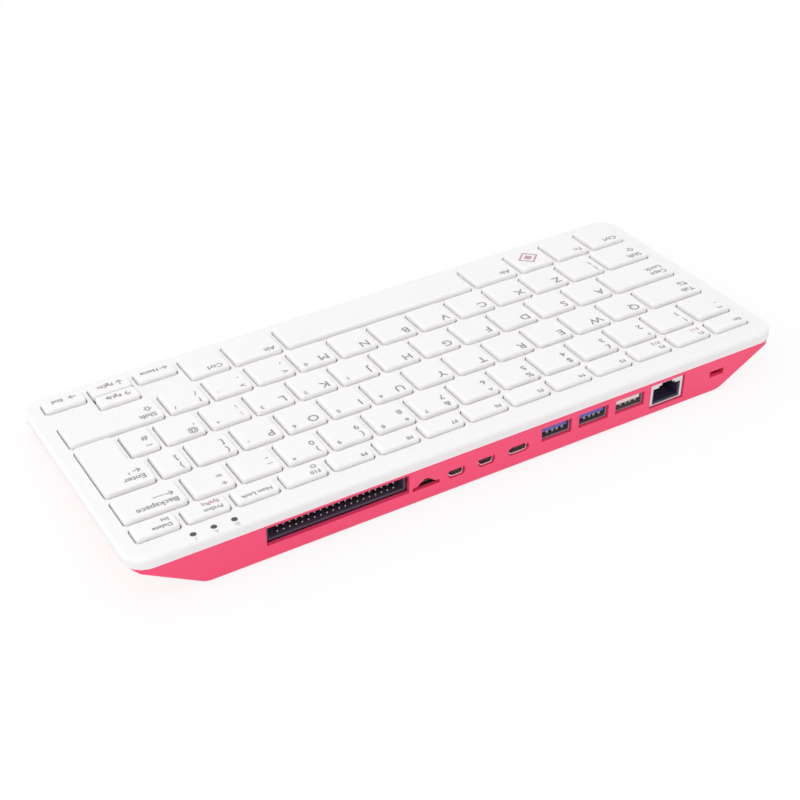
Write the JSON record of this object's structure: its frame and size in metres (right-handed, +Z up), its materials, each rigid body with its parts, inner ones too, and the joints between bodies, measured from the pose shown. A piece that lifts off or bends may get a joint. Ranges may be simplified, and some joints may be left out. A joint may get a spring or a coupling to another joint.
{
  "type": "keyboard computer",
  "caption": "Compact wedge-shaped computer built into a white island-key keyboard on a pink tub, with its sockets and pin header along the rear.",
  "frame": {"origin": "under the middle of the case, on the surface that the feet stand on", "axes": "+X to the typist's right, +Y to the rear where the sockets are, +Z up"},
  "size_m": [0.286, 0.1216, 0.0235],
  "materials": {
    "white_case": "fine moulded white ABS",
    "key_white": "smooth white keycap plastic",
    "pink_case": "fine moulded raspberry pink ABS",
    "smoked_lens": "smoked clear plastic",
    "frame_plastic": "moulded plastic",
    "silicone": "translucent silicone rubber",
    "membrane_film": "polyester film",
    "steel": "zinc-plated sheet and turned steel",
    "ribbon_film": "flat flexible cable",
    "foot_rubber": "soft rubber",
    "board_laminate": "solder-masked glass laminate",
    "pad_rubber": "heat-conducting silicone",
    "aluminium": "plain rolled sheet",
    "black_plastic": "black moulded plastic",
    "gold_contact": "gold flash",
    "socket_shell": "bright nickel-plated sheet",
    "blue_tongue": "blue moulded plastic",
    "pale_tongue": "pale moulded plastic"
  },
  "bodies": {
    "case": {"top_cover": "white_case", "indicator_lenses": "smoked_lens", "key_frame": "frame_plastic", "dome_sheet": "silicone", "switch_membrane": "membrane_film", "keyboard_backplate": "steel", "keyboard_ribbon": "ribbon_film", "ribbon_socket": "black_plastic", "bottom_tub": "pink_case", "rubber_feet": "foot_rubber", "main_board": "board_laminate", "processor": "steel", "thermal_pad": "pad_rubber", "board_chips": "black_plastic", "wireless_can": "socket_shell", "heat_spreader": "aluminium", "spreader_screws": "steel", "gpio_header": "black_plastic", "gpio_pins": "gold_contact", "microsd_socket": "socket_shell", "micro_hdmi_shells": "socket_shell", "usb_c_shell": "socket_shell", "port_tongues": "black_plastic", "usb_a_shells": "socket_shell", "usb3_tongues": "blue_tongue", "usb2_tongue": "pale_tongue", "ethernet_shell": "socket_shell", "ethernet_insert": "black_plastic", "ethernet_contacts": "gold_contact"},
    "escape_key": {"escape_key": "key_white"},
    "num_lock_key": {"num_lock_key": "key_white"},
    "print_screen_key": {"print_screen_key": "key_white"},
    "delete_key": {"delete_key": "key_white"},
    "backspace_key": {"backspace_key": "key_white"},
    "tab_key": {"tab_key": "key_white"},
    "enter_key": {"enter_key": "key_white"},
    "caps_lock_key": {"caps_lock_key": "key_white"},
    "left_shift_key": {"left_shift_key": "key_white"},
    "right_shift_key": {"right_shift_key": "key_white"},
    "left_ctrl_key": {"left_ctrl_key": "key_white"},
    "fn_key": {"fn_key": "key_white"},
    "system_key": {"system_key": "key_white"},
    "left_alt_key": {"left_alt_key": "key_white"},
    "space_key": {"space_key": "key_white"},
    "right_alt_key": {"right_alt_key": "key_white"},
    "right_ctrl_key": {"right_ctrl_key": "key_white"},
    "left_key": {"left_key": "key_white"},
    "up_key": {"up_key": "key_white"},
    "down_key": {"down_key": "key_white"},
    "right_key": {"right_key": "key_white"},
    "function_keys_left": {"function_keys_left": "key_white"},
    "function_keys_right": {"function_keys_right": "key_white"},
    "number_keys_left": {"number_keys_left": "key_white"},
    "number_keys_right": {"number_keys_right": "key_white"},
    "top_row_keys_left": {"top_row_keys_left": "key_white"},
    "top_row_keys_right": {"top_row_keys_right": "key_white"},
    "home_row_keys_left": {"home_row_keys_left": "key_white"},
    "home_row_keys_right": {"home_row_keys_right": "key_white"},
    "lower_row_keys_left": {"lower_row_keys_left": "key_white"},
    "lower_row_keys_right": {"lower_row_keys_right": "key_white"}
  },
  "joints": [
    {"name": "escape_key_press", "type": "slide", "parent": "case", "child": "escape_key", "axis": [0, -0.1028, 0.9947], "range_m": [-0.0016, 0], "stiffness_N_per_m": 220, "springref_m": 0.001, "deforming": ["dome_sheet"]},
    {"name": "num_lock_key_press", "type": "slide", "parent": "case", "child": "num_lock_key", "axis": [0, -0.1028, 0.9947], "range_m": [-0.0016, 0], "stiffness_N_per_m": 220, "springref_m": 0.001, "deforming": ["dome_sheet"]},
    {"name": "print_screen_key_press", "type": "slide", "parent": "case", "child": "print_screen_key", "axis": [0, -0.1028, 0.9947], "range_m": [-0.0016, 0], "stiffness_N_per_m": 220, "springref_m": 0.001, "deforming": ["dome_sheet"]},
    {"name": "delete_key_press", "type": "slide", "parent": "case", "child": "delete_key", "axis": [0, -0.1028, 0.9947], "range_m": [-0.0016, 0], "stiffness_N_per_m": 220, "springref_m": 0.001, "deforming": ["dome_sheet"]},
    {"name": "backspace_key_press", "type": "slide", "parent": "case", "child": "backspace_key", "axis": [0, -0.1028, 0.9947], "range_m": [-0.0016, 0], "stiffness_N_per_m": 220, "springref_m": 0.001, "deforming": ["dome_sheet"]},
    {"name": "tab_key_press", "type": "slide", "parent": "case", "child": "tab_key", "axis": [0, -0.1028, 0.9947], "range_m": [-0.0016, 0], "stiffness_N_per_m": 220, "springref_m": 0.001, "deforming": ["dome_sheet"]},
    {"name": "enter_key_press", "type": "slide", "parent": "case", "child": "enter_key", "axis": [0, -0.1028, 0.9947], "range_m": [-0.0016, 0], "stiffness_N_per_m": 220, "springref_m": 0.001, "deforming": ["dome_sheet"]},
    {"name": "caps_lock_key_press", "type": "slide", "parent": "case", "child": "caps_lock_key", "axis": [0, -0.1028, 0.9947], "range_m": [-0.0016, 0], "stiffness_N_per_m": 220, "springref_m": 0.001, "deforming": ["dome_sheet"]},
    {"name": "left_shift_key_press", "type": "slide", "parent": "case", "child": "left_shift_key", "axis": [0, -0.1028, 0.9947], "range_m": [-0.0016, 0], "stiffness_N_per_m": 220, "springref_m": 0.001, "deforming": ["dome_sheet"]},
    {"name": "right_shift_key_press", "type": "slide", "parent": "case", "child": "right_shift_key", "axis": [0, -0.1028, 0.9947], "range_m": [-0.0016, 0], "stiffness_N_per_m": 220, "springref_m": 0.001, "deforming": ["dome_sheet"]},
    {"name": "left_ctrl_key_press", "type": "slide", "parent": "case", "child": "left_ctrl_key", "axis": [0, -0.1028, 0.9947], "range_m": [-0.0016, 0], "stiffness_N_per_m": 220, "springref_m": 0.001, "deforming": ["dome_sheet"]},
    {"name": "fn_key_press", "type": "slide", "parent": "case", "child": "fn_key", "axis": [0, -0.1028, 0.9947], "range_m": [-0.0016, 0], "stiffness_N_per_m": 220, "springref_m": 0.001, "deforming": ["dome_sheet"]},
    {"name": "system_key_press", "type": "slide", "parent": "case", "child": "system_key", "axis": [0, -0.1028, 0.9947], "range_m": [-0.0016, 0], "stiffness_N_per_m": 220, "springref_m": 0.001, "deforming": ["dome_sheet"]},
    {"name": "left_alt_key_press", "type": "slide", "parent": "case", "child": "left_alt_key", "axis": [0, -0.1028, 0.9947], "range_m": [-0.0016, 0], "stiffness_N_per_m": 220, "springref_m": 0.001, "deforming": ["dome_sheet"]},
    {"name": "space_key_press", "type": "slide", "parent": "case", "child": "space_key", "axis": [0, -0.1028, 0.9947], "range_m": [-0.0016, 0], "stiffness_N_per_m": 220, "springref_m": 0.001, "deforming": ["dome_sheet"]},
    {"name": "right_alt_key_press", "type": "slide", "parent": "case", "child": "right_alt_key", "axis": [0, -0.1028, 0.9947], "range_m": [-0.0016, 0], "stiffness_N_per_m": 220, "springref_m": 0.001, "deforming": ["dome_sheet"]},
    {"name": "right_ctrl_key_press", "type": "slide", "parent": "case", "child": "right_ctrl_key", "axis": [0, -0.1028, 0.9947], "range_m": [-0.0016, 0], "stiffness_N_per_m": 220, "springref_m": 0.001, "deforming": ["dome_sheet"]},
    {"name": "left_key_press", "type": "slide", "parent": "case", "child": "left_key", "axis": [0, -0.1028, 0.9947], "range_m": [-0.0016, 0], "stiffness_N_per_m": 220, "springref_m": 0.001, "deforming": ["dome_sheet"]},
    {"name": "up_key_press", "type": "slide", "parent": "case", "child": "up_key", "axis": [0, -0.1028, 0.9947], "range_m": [-0.0016, 0], "stiffness_N_per_m": 220, "springref_m": 0.001, "deforming": ["dome_sheet"]},
    {"name": "down_key_press", "type": "slide", "parent": "case", "child": "down_key", "axis": [0, -0.1028, 0.9947], "range_m": [-0.0016, 0], "stiffness_N_per_m": 220, "springref_m": 0.001, "deforming": ["dome_sheet"]},
    {"name": "right_key_press", "type": "slide", "parent": "case", "child": "right_key", "axis": [0, -0.1028, 0.9947], "range_m": [-0.0016, 0], "stiffness_N_per_m": 220, "springref_m": 0.001, "deforming": ["dome_sheet"]},
    {"name": "function_keys_left_press", "type": "slide", "parent": "case", "child": "function_keys_left", "axis": [0, -0.1028, 0.9947], "range_m": [-0.0016, 0], "stiffness_N_per_m": 1100, "springref_m": 0.001, "deforming": ["dome_sheet"]},
    {"name": "function_keys_right_press", "type": "slide", "parent": "case", "child": "function_keys_right", "axis": [0, -0.1028, 0.9947], "range_m": [-0.0016, 0], "stiffness_N_per_m": 1100, "springref_m": 0.001, "deforming": ["dome_sheet"]},
    {"name": "number_keys_left_press", "type": "slide", "parent": "case", "child": "number_keys_left", "axis": [0, -0.1028, 0.9947], "range_m": [-0.0016, 0], "stiffness_N_per_m": 1320, "springref_m": 0.001, "deforming": ["dome_sheet"]},
    {"name": "number_keys_right_press", "type": "slide", "parent": "case", "child": "number_keys_right", "axis": [0, -0.1028, 0.9947], "range_m": [-0.0016, 0], "stiffness_N_per_m": 1540, "springref_m": 0.001, "deforming": ["dome_sheet"]},
    {"name": "top_row_keys_left_press", "type": "slide", "parent": "case", "child": "top_row_keys_left", "axis": [0, -0.1028, 0.9947], "range_m": [-0.0016, 0], "stiffness_N_per_m": 1100, "springref_m": 0.001, "deforming": ["dome_sheet"]},
    {"name": "top_row_keys_right_press", "type": "slide", "parent": "case", "child": "top_row_keys_right", "axis": [0, -0.1028, 0.9947], "range_m": [-0.0016, 0], "stiffness_N_per_m": 1540, "springref_m": 0.001, "deforming": ["dome_sheet"]},
    {"name": "home_row_keys_left_press", "type": "slide", "parent": "case", "child": "home_row_keys_left", "axis": [0, -0.1028, 0.9947], "range_m": [-0.0016, 0], "stiffness_N_per_m": 1100, "springref_m": 0.001, "deforming": ["dome_sheet"]},
    {"name": "home_row_keys_right_press", "type": "slide", "parent": "case", "child": "home_row_keys_right", "axis": [0, -0.1028, 0.9947], "range_m": [-0.0016, 0], "stiffness_N_per_m": 1540, "springref_m": 0.001, "deforming": ["dome_sheet"]},
    {"name": "lower_row_keys_left_press", "type": "slide", "parent": "case", "child": "lower_row_keys_left", "axis": [0, -0.1028, 0.9947], "range_m": [-0.0016, 0], "stiffness_N_per_m": 1320, "springref_m": 0.001, "deforming": ["dome_sheet"]},
    {"name": "lower_row_keys_right_press", "type": "slide", "parent": "case", "child": "lower_row_keys_right", "axis": [0, -0.1028, 0.9947], "range_m": [-0.0016, 0], "stiffness_N_per_m": 1100, "springref_m": 0.001, "deforming": ["dome_sheet"]}
  ]
}
